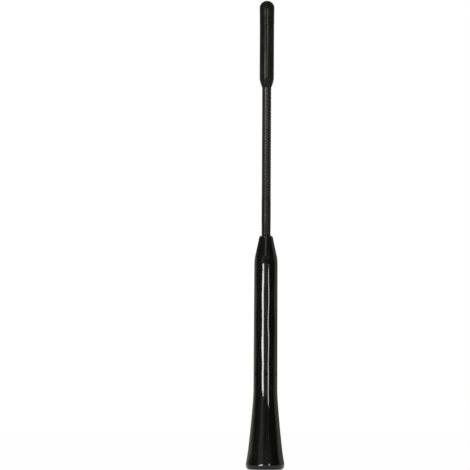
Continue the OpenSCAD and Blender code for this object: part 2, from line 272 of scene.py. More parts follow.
def open_tree(name, kind, takes, gives):
    """An empty node tree, and the nodes of its inputs and output. Each input is given by its default or its kind."""
    tree = bpy.data.node_groups.new(name, kind)
    for label, value in takes.items():
        socket = SOCKET_KINDS.get(type(value), value)
        item = tree.interface.new_socket(label, in_out="INPUT", socket_type=f"NodeSocket{socket}")
        if socket != value:
            item.default_value = value
    for label, socket in gives.items():
        tree.interface.new_socket(label, in_out="OUTPUT", socket_type=f"NodeSocket{socket}")
    return tree, tree.nodes.new("NodeGroupInput").outputs, tree.nodes.new("NodeGroupOutput")


def end_tree(tree, out, value):
    """The tree, with its result linked to its output node and that node moved to the right."""
    tree.links.new(value, out.inputs[0])
    out.location = (value.node.location.x + COLUMN_W, 0)
    return tree


def close_tree(tree, out, mesh, material):
    """A geometry tree that ends in real geometry with its material."""
    real = out_of(tree, "GeometryNodeRealizeInstances", {"Geometry": mesh})
    dressed = out_of(tree, "GeometryNodeSetMaterial", {"Geometry": real, "Material": material})
    return end_tree(tree, out, dressed)


def smooth_but_sharp(tree, mesh, angle):
    """Smooth faces, with an edge kept sharp where its faces meet at more than the angle."""
    smooth = out_of(tree, "GeometryNodeSetShadeSmooth", {"Geometry": mesh, "Shade Smooth": True})
    bend = put(tree, "GeometryNodeInputMeshEdgeAngle").outputs["Unsigned Angle"]
    sharp = out_of(tree, "FunctionNodeCompare", {0: bend, 1: angle}, data_type="FLOAT", operation="GREATER_THAN")
    edges = {"Geometry": smooth, "Selection": sharp, "Shade Smooth": False}
    return out_of(tree, "GeometryNodeSetShadeSmooth", edges, domain="EDGE")


def turned_wall_tree():
    """Tree that turns an outline about the mast's axis, and raises a coiled rib or thread on it.
    The outline's points have x as radius and z as height. Their turn and lift say where the rib is and how high."""
    takes = {
        "Outline": "Geometry",
        "Sides": 96,
        "Root Flat": 0.0,
        "Crest Flat": 0.0,
        "Roundness": 1.0,
        "Power": 1.5,
        "Sharp Angle": 0.6,
        "Material": "Material",
    }
    tree, given, out = open_tree("Turned Wall", "GeometryNodeTree", takes, {"Mesh": "Geometry"})
    rows = out_of(tree, "GeometryNodeAttributeDomainSize", {0: given["Outline"]}, component="MESH")
    columns = calc(tree, "ADD", given["Sides"], 1.0)
    size = {"Size X": 1.0, "Size Y": 1.0, "Vertices X": columns, "Vertices Y": rows}
    grid = out_of(tree, "GeometryNodeMeshGrid", size)
    index = out_of(tree, "GeometryNodeInputIndex")
    column = calc(tree, "FLOOR", calc(tree, "DIVIDE", index, rows))
    row = calc(tree, "SUBTRACT", index, calc(tree, "MULTIPLY", column, rows))
    around = calc(tree, "DIVIDE", column, given["Sides"])

    def at_row(kind, field):
        """The outline's value at this row."""
        values = {"Geometry": given["Outline"], "Value": field, "Index": row}
        return out_of(tree, "GeometryNodeSampleIndex", values, data_type=kind, domain="POINT")

    where = out_of(tree, "GeometryNodeInputPosition")
    point = put(tree, "ShaderNodeSeparateXYZ", {0: at_row("FLOAT_VECTOR", where)}).outputs
    turn = at_row("FLOAT", named_value(tree, "turn"))
    lift = at_row("FLOAT", named_value(tree, "lift"))

    phase = calc(tree, "SUBTRACT", turn, around)
    off = calc(tree, "ABSOLUTE", calc(tree, "SUBTRACT", phase, calc(tree, "ROUND", phase)))
    ridge = calc(tree, "MULTIPLY_ADD", off, -2.0, 1.0)
    root = given["Root Flat"]
    run = calc(tree, "SUBTRACT", calc(tree, "SUBTRACT", 1.0, root), given["Crest Flat"])
    flank = calc(tree, "DIVIDE", calc(tree, "SUBTRACT", ridge, root), run, clamp=True)
    wave = calc(tree, "COSINE", calc(tree, "MULTIPLY", flank, math.pi))
    soft = calc(tree, "MULTIPLY_ADD", wave, -0.5, 0.5)
    more = calc(tree, "MULTIPLY", calc(tree, "SUBTRACT", soft, flank), given["Roundness"])
    rib = calc(tree, "POWER", calc(tree, "ADD", flank, more), given["Power"])
    radius = calc(tree, "MULTIPLY_ADD", rib, lift, point[0])
    angle = calc(tree, "MULTIPLY", around, TURN)
    x = calc(tree, "MULTIPLY", radius, calc(tree, "COSINE", angle))
    y = calc(tree, "MULTIPLY", radius, calc(tree, "SINE", angle))
    moved = {"Geometry": grid, "Position": vector(tree, x, y, point[2])}
    wall = out_of(tree, "GeometryNodeSetPosition", moved)
    welded = out_of(tree, "GeometryNodeMergeByDistance", {"Geometry": wall, "Distance": WELD_GAP})
    return close_tree(tree, out, smooth_but_sharp(tree, welded, given["Sharp Angle"]), given["Material"])


def dimple_tree():
    """Tree that cuts a ring of dimples, slots with round ends and a pointed bottom, into a turned wall."""
    takes = {
        "Wall": "Geometry",
        "Dimples": 6,
        "Width": 0.0011,
        "Length": 0.0015,
        "Depth": 0.0011,
        "Height": 0.05,
        "Wall Radius": 0.006,
        "First": 0.0,
        "Material": "Material",
    }
    tree, given, out = open_tree("Dimple Ring", "GeometryNodeTree", takes, {"Mesh": "Geometry"})
    half = calc(tree, "MULTIPLY", given["Width"], 0.5)
    reach = calc(tree, "MULTIPLY", given["Depth"], 2.0)
    size = {"Vertices": 24, "Radius": half, "Depth": reach}
    pin = out_of(tree, "GeometryNodeMeshCylinder", size, fill_type="NGON")
    point_share = 0.1
    point_r = calc(tree, "MULTIPLY", half, point_share)
    size = {"Vertices": 6, "Radius": point_r, "Depth": calc(tree, "ADD", reach, given["Width"])}
    ends = [out_of(tree, "GeometryNodeMeshCylinder", size)]
    spare = calc(tree, "SUBTRACT", given["Length"], given["Width"])
    for side in (0.5, -0.5):
        shift = vector(tree, y=calc(tree, "MULTIPLY", spare, side))
        ends.append(out_of(tree, "GeometryNodeTransform", {"Geometry": pin, "Translation": shift}))
    slot = out_of(tree, "GeometryNodeConvexHull", {0: out_of(tree, "GeometryNodeJoinGeometry", {0: ends})})

    index = out_of(tree, "GeometryNodeInputIndex")
    step = calc(tree, "DIVIDE", TURN, given["Dimples"])
    heading = calc(tree, "MULTIPLY_ADD", index, step, given["First"])
    x = calc(tree, "MULTIPLY", calc(tree, "SINE", heading), given["Wall Radius"])
    back = calc(tree, "MULTIPLY", calc(tree, "COSINE", heading), given["Wall Radius"])
    spot = vector(tree, x, calc(tree, "MULTIPLY", back, -1.0), given["Height"])
    ring = out_of(tree, "GeometryNodePoints", {"Count": given["Dimples"], "Position": spot})
    facing = out_of(tree, "FunctionNodeEulerToRotation", {0: vector(tree, x=math.pi / 2, z=heading)})
    copies = {"Points": ring, "Instance": slot, "Rotation": facing}
    slots = out_of(tree, "GeometryNodeInstanceOnPoints", copies)
    meshes = {0: given["Wall"], 1: out_of(tree, "GeometryNodeRealizeInstances", {0: slots})}
    cut = out_of(tree, "GeometryNodeMeshBoolean", meshes, operation="DIFFERENCE", solver="EXACT")
    return close_tree(tree, out, smooth_but_sharp(tree, cut, angle=0.5), given["Material"])


def wound_wire_tree():
    """Tree that winds a wire around the rod: each point of the line says how many turns lie below it."""
    takes = {
        "Line": "Geometry",
        "Coil Radius": 0.0015,
        "Wire Radius": 0.00025,
        "Wire Sides": WIRE_SIDES,
        "Material": "Material",
    }
    tree, given, out = open_tree("Wound Wire", "GeometryNodeTree", takes, {"Mesh": "Geometry"})
    angle = calc(tree, "MULTIPLY", named_value(tree, "turn"), TURN)
    x = calc(tree, "MULTIPLY", calc(tree, "COSINE", angle), given["Coil Radius"])
    y = calc(tree, "MULTIPLY", calc(tree, "SINE", angle), given["Coil Radius"])
    bent = out_of(tree, "GeometryNodeSetPosition", {"Geometry": given["Line"], "Offset": vector(tree, x, y)})
    path = out_of(tree, "GeometryNodeMeshToCurve", {0: bent})
    size = {"Resolution": given["Wire Sides"], "Radius": given["Wire Radius"]}
    section = out_of(tree, "GeometryNodeCurvePrimitiveCircle", size)
    swept = {"Curve": path, "Profile Curve": section, "Fill Caps": True}
    wire = out_of(tree, "GeometryNodeCurveToMesh", swept)
    return close_tree(tree, out, smooth_but_sharp(tree, wire, angle=1.0), given["Material"])


def line_mesh(name, rows):
    """A chain of points for a tree to work on. Each row is (radius, height, turn, lift)."""
    mesh = bpy.data.meshes.new(name)
    mesh.from_pydata([(r, 0.0, z) for r, z, _, _ in rows], [(i, i + 1) for i in range(len(rows) - 1)], [])
    for label, place in (("turn", 2), ("lift", 3)):
        values = mesh.attributes.new(label, "FLOAT", "POINT")
        values.data.foreach_set("value", [row[place] for row in rows])
    return mesh


def grow(name, mesh, tree, values):
    """An object whose mesh is what the tree makes of the given one."""
    made = bpy.data.objects.new(name, mesh)
    bpy.context.scene.collection.objects.link(made)
    rule = made.modifiers.new(tree.name, "NODES")
    rule.node_group = tree
    for item in tree.interface.items_tree:
        if item.item_type == "SOCKET" and item.in_out == "INPUT" and item.name in values:
            rule[item.identifier] = values[item.name]
    bpy.context.view_layer.update()
    depsgraph = bpy.context.evaluated_depsgraph_get()
    result = bpy.data.meshes.new_from_object(made.evaluated_get(depsgraph), depsgraph=depsgraph)
    made.modifiers.clear()
    made.data = result
    result.name = name
    for label in ("turn", "lift"):
        if label in result.attributes:
            result.attributes.remove(result.attributes[label])
    if not result.polygons:
        raise RuntimeError(f"{name}: its tree made no faces")
    return made


def fit(made, node):
    """Puts a finished piece in a CAD node's place."""
    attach(made, "root")
    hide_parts(node)


def plain(points):
    """Rows of an outline that carries no rib."""
    return [(r, z, 0.0, 0.0) for r, z in points]


def along(start, lean, reach):
    """The point at a reach from a start, in the direction of a lean."""
    return (start[0] + reach * math.cos(lean), start[1] + reach * math.sin(lean))


def arc(centre, radius, start, end, steps, first=0):
    """Points of an arc in the plane of radius and height, its angles in radians."""
    return [along(centre, start + (end - start) * i / steps, radius) for i in range(first, steps + 1)]


def straight(start, end, steps):
    """Points between two others, which are left out."""
    return [
        (start[0] + (end[0] - start[0]) * i / steps, start[1] + (end[1] - start[1]) * i / steps)
        for i in range(1, steps)
    ]


def bearing(centre, point):
    """Direction of a point from a centre."""
    return math.atan2(point[1] - centre[1], point[0] - centre[0])


def touching(start, lean, centre, radius):
    """Radius of the hollow curve that leaves a start at a lean and touches a circle."""
    offset = (start[0] - centre[0], start[1] - centre[1])
    reach = offset[0] * math.cos(lean) + offset[1] * math.sin(lean)
    return (offset[0] ** 2 + offset[1] ** 2 - radius**2) / (2 * (radius - reach))


def shell_rows(s, socket):
    """Outline of the base shell: recess, foot, flare, barrel, neck and mouth, then down the bore and back."""
    top, foot_r = SHELL_TOP.z, SHELL_TOP.x
    shoulder_z = top - s.neck_l
    lean = math.atan((s.barrel_d - s.shoulder_d) / 2 / (shoulder_z - s.flare_h))
    knee = (
        s.barrel_d / 2 + s.flare_top_r * (math.cos(lean) - math.cos(s.flare_top_lean)),
        s.flare_h - s.flare_top_r * (math.sin(s.flare_top_lean) - math.sin(lean)),
    )
    tight = along(knee, s.flare_top_lean, s.flare_top_r)
    flare = along(knee, s.flare_top_lean, s.flare_long_r)
    spread_lean = math.asin((flare[1] - s.spread_h) / s.flare_long_r)
    spread_top = along(flare, spread_lean, -s.flare_long_r)
    land = along((foot_r, s.foot_edge_r + s.land_rise), s.land_lean, -s.land_r)
    low_lean, high_lean = s.land_lean - s.land_half, s.land_lean + s.land_half
    low = along(land, low_lean, s.land_r)
    high = along(land, high_lean, s.land_r)
    low_r = low[1] / (1 + math.sin(low_lean))
    edge_low = along(low, low_lean, -low_r)
    edge_high = along(high, high_lean, -s.foot_edge_r)
    spread_r = touching(spread_top, spread_lean, edge_high, s.foot_edge_r)
    spread = along(spread_top, spread_lean, spread_r)
    foot_lean = bearing(edge_high, spread)
    barrel_top = (s.shoulder_d / 2, shoulder_z)
    shoulder = along(barrel_top, lean, -s.shoulder_r)
    bore_r = s.bore_d / 2
    mouth = (bore_r + s.mouth_flat, top - s.mouth_edge_r)
    apart = math.hypot(mouth[0] - shoulder[0], mouth[1] - shoulder[1])
    neck_lean = bearing(shoulder, mouth) - math.acos((s.shoulder_r - s.mouth_edge_r) / apart)

    edge = arc(edge_low, low_r, -math.pi / 2, low_lean, steps=28)
    edge += arc(land, s.land_r, low_lean, high_lean, steps=8, first=1)
    edge += arc(edge_high, s.foot_edge_r, high_lean, foot_lean, steps=8, first=1)
    wall = arc(spread, spread_r, math.pi + foot_lean, math.pi + spread_lean, steps=20, first=1)
    wall += arc(flare, s.flare_long_r, math.pi + spread_lean, math.pi + s.flare_top_lean, steps=40, first=1)
    wall += arc(tight, s.flare_top_r, math.pi + s.flare_top_lean, math.pi + lean, steps=24, first=1)
    wall += straight(wall[-1], barrel_top, steps=56)
    curve = arc(shoulder, s.shoulder_r, lean, neck_lean, steps=20)
    rim = arc(mouth, s.mouth_edge_r, neck_lean, math.pi / 2, steps=16)
    neck = straight(curve[-1], rim[0], steps=10)
    seat = socket_outline(socket, FIT_GAP)
    points = [(s.recess_d / 2, 0.0), *edge, *wall, *curve, *neck, *rim, (bore_r, top), (bore_r, SOCKET_TOP.z)]
    points += [*seat, (s.recess_d / 2, s.recess_depth), (s.recess_d / 2, 0.0)]
    return plain(points)


def socket_outline(s, gap):
    """Outline of the socket's body and neck, from its top down to its flange, grown by a gap."""
    foot, top = SOCKET_FOOT.z, SOCKET_TOP.z
    flange_top = foot + s.flange_h
    neck_z = flange_top + s.body_l
    neck_r, body_r = s.neck_d / 2 + gap, s.body_d / 2 + gap
    points = [(neck_r, top), (neck_r, neck_z + gap), (body_r, neck_z + gap)]
    for i in reversed(range(s.groove_count)):
        z = flange_top + s.groove_h + i * s.groove_pitch
        points += [
            (body_r, z + s.groove_w - gap),
            (body_r - s.groove_depth, z + s.groove_w - gap),
            (body_r - s.groove_depth, z + gap),
            (body_r, z + gap),
        ]
    return [*points, (body_r, flange_top)]


def socket_rows(s):
    """Outline of the socket: from the drill's point down the thread, around the outside, down the ferrule's bore."""
    foot = SOCKET_FOOT.z
    minor_r, major_r = s.minor_d / 2, s.major_d / 2
    deep = foot + s.thread_depth
    lift = major_r - minor_r
    steps, mouth_fade, deep_fade = 16, 0.5, 1.5
    turns = (s.thread_depth - s.thread_end) / s.thread_pitch
    rows = [(0.0, deep + minor_r / math.tan(s.drill_angle / 2), 0.0, 0.0), (minor_r, deep, 0.0, 0.0)]
    for i in range(int(turns * steps), -1, -1):
        turn = i / steps
        fade = min(1.0, turn / mouth_fade, (turns - turn) / deep_fade)
        rows.append((minor_r, foot + turn * s.thread_pitch + FINE_BEVEL, turn, lift * max(0.0, fade)))
    flange_r = s.flange_d / 2
    rows += plain([(minor_r + s.rim, foot), (flange_r - FINE_BEVEL, foot), (flange_r, foot + FINE_BEVEL)])
    body = list(reversed(socket_outline(s, gap=0.0)))
    flange_top = body[0][1]
    rows += plain([(flange_r, flange_top - FINE_BEVEL), (flange_r - FINE_BEVEL, flange_top), *body])
    ferrule_r = FERRULE_TOP.x + FIT_GAP
    rows += plain([(ferrule_r, SOCKET_TOP.z), (ferrule_r, FERRULE_FOOT.z), (0.0, FERRULE_FOOT.z)])
    return rows


def coil_radius(s):
    """Radius of the winding's centre line, at which its facetted turns clear the rod."""
    return (s.rod_d + FIT_GAP + s.wire_d) / 2 / math.cos(math.pi / WIRE_SIDES)


def coil_plan(s):
    """Height at which the winding starts, and its stretches: each a count of turns, its first pitch and its last."""
    start = SOLDER_TOP.z + s.wire_d / 2 + FIT_GAP
    lead = (SHELL_TOP.z - start) / s.lead_pitch
    stretches = [
        (lead, s.lead_pitch, s.lead_pitch),
        (s.low_turns, s.low_pitch, s.low_pitch),
        (s.close_turns, s.close_pitch, s.close_pitch),
        (s.even_turns, s.even_pitch, s.even_pitch),
        (s.spread_turns, s.even_pitch, s.top_pitch),
    ]
    used = start + sum(turns * (low + high) / 2 for turns, low, high in stretches)
    end = SHEATH_TOP.z - s.wire_d / 2 - FIT_GAP
    return start, [*stretches, ((end - used) / s.top_pitch, s.top_pitch, s.top_pitch)]


def coil_height(plan, turn):
    """Height of the winding's centre after so many turns."""
    z, stretches = plan
    for turns, low, high in stretches:
        here = min(turn, turns)
        z += low * here + (high - low) * here * here / (2 * turns)
        turn -= here
        if turn <= 0:
            break
    return z


def sheath_rows(s):
    """Outline of the sheath: up its ribbed outside, and down its bore. The turn at each height is the winding's."""
    plan = coil_plan(s)
    outer_r = SHEATH_TOP.x
    bore_r = coil_radius(s) + s.wire_d / 2 + FIT_GAP
    lead = plan[1][0][0]
    low_top = lead + s.low_turns
    high_foot = low_top + s.close_turns
    stretches = [(lead - 1, low_top), (high_foot, high_foot + s.even_turns + s.spread_turns + 1)]
    rows = [(bore_r, SHEATH_FOOT.z, 0.0, 0.0), (outer_r, SHEATH_FOOT.z, 0.0, 0.0)]
    steps = 16
    for start, end in stretches:
        for k in range(round((end - start) * steps) + 1):
            turn = start + k / steps
            lift = s.rib_h * max(0.0, min(1.0, turn - start, end - turn))
            rows.append((outer_r - lift, coil_height(plan, turn), turn, lift))
    return rows + plain([(outer_r, SHEATH_TOP.z), (bore_r, SHEATH_TOP.z), (bore_r, SHEATH_FOOT.z)])


def wire_rows(s):
    """Points up the winding's axis, with the turns that lie below each."""
    plan = coil_plan(s)
    turns = sum(stretch[0] for stretch in plan[1])
    points_a_turn = 24
    steps = math.ceil(turns * points_a_turn)
    return [(0.0, coil_height(plan, turns * i / steps), turns * i / steps, 0.0) for i in range(steps + 1)]


def soft_corner(start, corner, end, steps):
    """Points of a curve that rounds a corner off, from a start before it to an end after it."""
    curve = []
    for i in range(steps + 1):
        t = i / steps
        weights = ((1 - t) ** 2, 2 * t * (1 - t), t * t)
        curve.append(tuple(sum(w * v for w, v in zip(weights, values)) for values in zip(start, corner, end)))
    return curve


def tip_sleeve_rows(s, bore_r):
    """Outline of the tip's sleeve: its taper, its wall, and the counterbore for the cap's spigot."""
    outer_r, foot, seam = TIP_TOP.x, TIP_FOOT.z, TIP_TOP.z
    lip = (bore_r + s.lip_flat, foot)
    taper_top = (outer_r, foot + s.taper_l)
    chord = (taper_top[0] - lip[0], taper_top[1] - lip[1])
    span = math.hypot(*chord)
    sag = math.sqrt(s.taper_r**2 - span**2 / 4) / span
    centre = ((lip[0] + taper_top[0]) / 2 - sag * chord[1], (lip[1] + taper_top[1]) / 2 + sag * chord[0])
    taper = arc(centre, s.taper_r, bearing(centre, lip), bearing(centre, taper_top), steps=20)
    step_z = seam - s.spigot_l - FIT_GAP
    socket_r = s.spigot_d / 2 + FIT_GAP
    rounded = 6
    kept = len(taper) - rounded
    soft = soft_corner(taper[kept], taper[-1], (outer_r, taper_top[1] + s.corner_l), steps=10)
    wall_top = (outer_r, seam - FINE_BEVEL)
    wall = [*soft, *straight(soft[-1], wall_top, steps=30), wall_top]
    points = [(bore_r, foot), *taper[:kept], *wall, (outer_r - FINE_BEVEL, seam), (socket_r, seam)]
    return plain([*points, (socket_r, step_z), (bore_r, step_z), (bore_r, foot)])


def tip_cap_rows(s, bore_r):
    """Outline of the tip's cap: its spigot, its bevelled edge at the seam, its swell and its dome."""
    seam, dome_r = TIP_TOP.z, CAP_TOP.x
    dome_z = CAP_TOP.z - dome_r
    edge_r = s.cap_d / 2
    points = [
        (bore_r, CAP_FOOT.z),
        (s.spigot_d / 2, CAP_FOOT.z),
        (s.spigot_d / 2, seam),
        (edge_r - s.seam_bevel, seam),
        (edge_r, seam + s.seam_bevel),
    ]
    steps = 24
    for i in range(steps):
        t = i / steps
        points.append((edge_r + (dome_r - edge_r) * (1 - math.cos(math.pi * t)) / 2, dome_z - s.swell_l * (1 - t)))
    dome = arc((0.0, dome_z), dome_r, 0.0, math.pi / 2, steps=40)
    dome[-1] = (0.0, dome_z + dome_r)
    end = SHEATH_TOP.z + FIT_GAP
    return plain([(0.0, end), (bore_r, end), *points, *dome])


def stretched_noise(tree, scale, stretch, detail):
    """Noise on the piece's own coordinates, drawn out along the mast."""
    here = put(tree, "ShaderNodeTexCoord").outputs["Object"]
    parts = {0: here, 1: vector(tree, 1.0, 1.0, stretch)}
    drawn = out_of(tree, "ShaderNodeVectorMath", parts, operation="MULTIPLY")
    return out_of(tree, "ShaderNodeTexNoise", {"Vector": drawn, "Scale": scale, "Detail": detail})


def tone_patches():
    """Two tones in soft patches, which may be drawn out along the mast."""
    takes = {
        "Main Tone": (0.02, 0.02, 0.02, 1.0),
        "Other Tone": (0.04, 0.04, 0.04, 1.0),
        "Scale": 300.0,
        "Stretch": 1.0,
        "Detail": 4.0,
        "From": 0.4,
        "To": 0.65,
    }
    tree, given, out = open_tree("Tone Patches", "ShaderNodeTree", takes, {"Tone": "Color"})
    noise = stretched_noise(tree, given["Scale"], given["Stretch"], given["Detail"])
    limits = {0: noise, 1: given["From"], 2: given["To"]}
    mask = out_of(tree, "ShaderNodeMapRange", limits, interpolation_type="SMOOTHSTEP")
    tones = {0: mask, 6: given["Main Tone"], 7: given["Other Tone"]}
    return end_tree(tree, out, put(tree, "ShaderNodeMix", tones, data_type="RGBA").outputs[2])


def moulded_surface():
    """Height of a moulded surface: a ripple drawn out along the mast, and an even second one or a fine grain."""
    takes = {
        "Ripple Scale": 120.0,
        "Ripple Stretch": 0.5,
        "Ripple Height": 1.0,
        "Even Scale": 3000.0,
        "Even Height": 0.05,
    }
    tree, given, out = open_tree("Moulded Surface", "ShaderNodeTree", takes, {"Height": "Float"})
    drawn = stretched_noise(tree, given["Ripple Scale"], given["Ripple Stretch"], detail=0.0)
    even = stretched_noise(tree, given["Even Scale"], stretch=1.0, detail=1.0)
    drawn_h = calc(tree, "MULTIPLY", drawn, given["Ripple Height"])
    even_h = calc(tree, "MULTIPLY", even, given["Even Height"])
    return end_tree(tree, out, calc(tree, "ADD", drawn_h, even_h))


def uneven_roughness():
    """A roughness that varies between two values in patches."""
    takes = {"Low": 0.2, "High": 0.4, "Scale": 200.0, "Stretch": 1.0}
    tree, given, out = open_tree("Uneven Gloss", "ShaderNodeTree", takes, {"Roughness": "Float"})
    noise = stretched_noise(tree, given["Scale"], given["Stretch"], detail=3.0)
    noise_low, noise_high = 0.35, 0.65
    limits = {0: noise, 1: noise_low, 2: noise_high, 3: given["Low"], 4: given["High"]}
    return end_tree(tree, out, out_of(tree, "ShaderNodeMapRange", limits))


def turning_rings():
    """Height of the fine rings that a lathe tool leaves, one after another up the piece."""
    takes = {"Ring Pitch": 0.0001, "Unevenness": 0.4}
    tree, given, out = open_tree("Turning Rings", "ShaderNodeTree", takes, {"Height": "Float"})
    here = put(tree, "ShaderNodeTexCoord").outputs["Object"]
    height = put(tree, "ShaderNodeSeparateXYZ", {0: here}).outputs[2]
    rings = calc(tree, "DIVIDE", height, given["Ring Pitch"])
    noise = out_of(tree, "ShaderNodeTexNoise", {"Vector": here, "Scale": 900.0, "Detail": 2.0})
    wave = calc(tree, "SINE", calc(tree, "MULTIPLY", rings, TURN))
    return end_tree(tree, out, calc(tree, "MULTIPLY_ADD", noise, given["Unevenness"], wave))


def new_material(name, colour, **surface):
    """A material with its surface shader's own sockets set, and its tree."""
    material = bpy.data.materials.new(name)
    material.use_nodes = True
    tree = material.node_tree
    shader = tree.nodes["Principled BSDF"]
    shader.location = (6 * COLUMN_W, 0)
    tree.nodes["Material Output"].location = (8 * COLUMN_W, 0)
    shader.inputs["Base Color"].default_value = (*colour, 1.0)
    for key, value in surface.items():
        shader.inputs[key.replace("_", " ")].default_value = value
    material.diffuse_color = (*colour, 1.0)
    return material, tree, shader


def effect(tree, name, build, values):
    """The result of a shared effect, which is built once, with a material's own values."""
    group = bpy.data.node_groups.get(name) or build()
    return out_of(tree, "ShaderNodeGroup", values, node_tree=group)


def patch_tones(tree, shader, tone, other, scale, stretch, low, high):
    """Feeds the shader's colour with soft patches of two tones."""
    values = {"Main Tone": (*tone, 1.0), "Other Tone": (*other, 1.0), "Scale": scale, "Stretch": stretch}
    values |= {"From": low, "To": high}
    tree.links.new(effect(tree, "Tone Patches", tone_patches, values), shader.inputs["Base Color"])


def uneven_gloss(tree, shader, low, high, scale, stretch):
    """Feeds the shader's roughness with patches."""
    values = {"Low": low, "High": high, "Scale": scale, "Stretch": stretch}
    tree.links.new(effect(tree, "Uneven Gloss", uneven_roughness, values), shader.inputs["Roughness"])


def bumped(tree, shader, height, depth):
    """Feeds the shader's normal with a height, in metres a unit."""
    bump = out_of(tree, "ShaderNodeBump", {"Height": height, "Distance": depth, "Strength": 1.0})
    tree.links.new(bump, shader.inputs["Normal"])


def moulded(tree, shader, ripple, stretch, even, even_height, depth):
    """Feeds the shader's normal with a moulded surface."""
    values = {"Ripple Scale": ripple, "Ripple Stretch": stretch, "Even Scale": even, "Even Height": even_height}
    bumped(tree, shader, effect(tree, "Moulded Surface", moulded_surface, values), depth)


def scaled(colour, factor):
    """The same colour at a multiple of its level."""
    return tuple(factor * c for c in colour)


def shell_material(finish):
    """Polished black moulding, with two slow ripples that its reflections show."""
    material, tree, shader = new_material("Polished Black Moulding", finish.shell, IOR=1.5, Roughness=0.04)
    patch_tones(tree, shader, finish.shell, scaled(finish.shell, 2.2), scale=260.0, stretch=0.5, low=0.5, high=0.8)
    uneven_gloss(tree, shader, low=0.03, high=0.07, scale=300.0, stretch=0.6)
    moulded(tree, shader, ripple=230.0, stretch=0.35, even=120.0, even_height=0.3, depth=0.00022)
    return material


def sheath_material(finish):
    """Brownish black satin sheath, rubbed paler in soft patches."""
    look = {"IOR": 1.48, "Specular_IOR_Level": 0.26}
    material, tree, shader = new_material("Satin Brown Black Sheath", finish.sheath, **look)
    patch_tones(tree, shader, finish.sheath, finish.sheath_worn, scale=300.0, stretch=0.35, low=0.42, high=0.7)
    uneven_gloss(tree, shader, low=0.24, high=0.33, scale=400.0, stretch=0.5)
    moulded(tree, shader, ripple=420.0, stretch=0.4, even=900.0, even_height=0.1, depth=0.00002)
    return material


def tip_material(finish, name):
    """Satin charcoal moulding with long soft streaks and a mottled gloss."""
    material, tree, shader = new_material(name, finish.tip, IOR=1.48, Specular_IOR_Level=0.08)
    patch_tones(tree, shader, finish.tip, finish.tip_pale, scale=520.0, stretch=0.3, low=0.45, high=0.75)
    uneven_gloss(tree, shader, low=0.13, high=0.21, scale=500.0, stretch=0.25)
    moulded(tree, shader, ripple=200.0, stretch=0.3, even=1400.0, even_height=0.03, depth=0.00016)
    return material


# Each metal's level in its dimmer patches, its least and most roughness, and the pitch and depth of its rings
METALS = {
    "Turned Brass": (0.8, 0.2, 0.34, 0.00012, 0.000002),
    "Enamelled Copper": (0.7, 0.22, 0.36, 0.0003, 0.000001),
    "Tinned Tube": (0.85, 0.25, 0.4, 0.00015, 0.000001),
    "Dull Solder": (0.75, 0.38, 0.55, 0.0008, 0.00002),
}


def metal_material(name, colour):
    """Turned or drawn metal: its colour and a dimmer one in patches, an uneven polish and fine rings."""
    dim, low, high, pitch, depth = METALS[name]
    material, tree, shader = new_material(name, colour, Metallic=1.0)
    patch_tones(tree, shader, colour, scaled(colour, dim), scale=420.0, stretch=0.7, low=0.4, high=0.7)
    uneven_gloss(tree, shader, low, high, scale=600.0, stretch=0.6)
    bumped(tree, shader, effect(tree, "Turning Rings", turning_rings, {"Ring Pitch": pitch}), depth)
    return material


def fibre_material(finish):
    """Pale glass-fibre rod with strands along it."""
    material, tree, shader = new_material("Glass Fibre Rod", finish.fibre, IOR=1.52)
    patch_tones(tree, shader, finish.fibre, scaled(finish.fibre, 0.8), scale=2600.0, stretch=0.03, low=0.4, high=0.6)
    uneven_gloss(tree, shader, low=0.3, high=0.45, scale=1500.0, stretch=0.05)
    moulded(tree, shader, ripple=2600.0, stretch=0.03, even=9000.0, even_height=0.1, depth=0.00002)
    return material


def dress(node, material):
    """Gives a CAD node that stays its procedural material."""
    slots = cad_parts[node].data.materials
    slots.clear()
    slots.append(material)


def turned(name, rows, sides, material, sharp=0.6, **rib):
    """A turned piece from its outline's rows."""
    values = {"Sides": sides, "Sharp Angle": sharp, "Material": material, **rib}
    tree = bpy.data.node_groups.get("Turned Wall") or turned_wall_tree()
    return grow(name, line_mesh(name + "_outline", rows), tree, values)


class AERIAL_OT_shell(bpy.types.Operator):
    """Builds the flared base shell with its ring of dimples"""

    bl_idname = "aerial.shell"
    bl_label = "Base Shell"

    def execute(self, context):
        s, marks, socket = context.scene.aerial_shell, context.scene.aerial_marks, context.scene.aerial_socket
        material = shell_material(context.scene.aerial_finishes)
        shell = turned("shell_gloss", shell_rows(s, socket), s.sides, material)
        shoulder_z = SHELL_TOP.z - s.neck_l
        rise = (s.barrel_d - s.shoulder_d) / 2 / (shoulder_z - s.flare_h)
        values = {
            "Dimples": marks.number,
            "Width": marks.width,
            "Length": marks.length,
            "Depth": marks.depth,
            "Height": marks.height,
            "Wall Radius": s.shoulder_d / 2 + rise * (shoulder_z - marks.height),
            "First": marks.first,
            "Material": material,
        }
        mesh = shell.data
        bpy.data.objects.remove(shell)
        fit(grow("shell_gloss", mesh, dimple_tree(), values), "base_shell")
        return {"FINISHED"}


class AERIAL_OT_socket(bpy.types.Operator):
    """Builds the turned brass socket with its internal thread"""

    bl_idname = "aerial.socket"
    bl_label = "Threaded Socket"

    def execute(self, context):
        brass = metal_material("Turned Brass", context.scene.aerial_finishes.brass)
        rows = socket_rows(context.scene.aerial_socket)
        thread = {"Root Flat": 0.25, "Crest Flat": 0.125, "Roundness": 0.0, "Power": 1.0}
        socket = turned("socket_turned", rows, sides=96, material=brass, sharp=0.5, **thread)
        fit(socket, "threaded_socket")
        return {"FINISHED"}


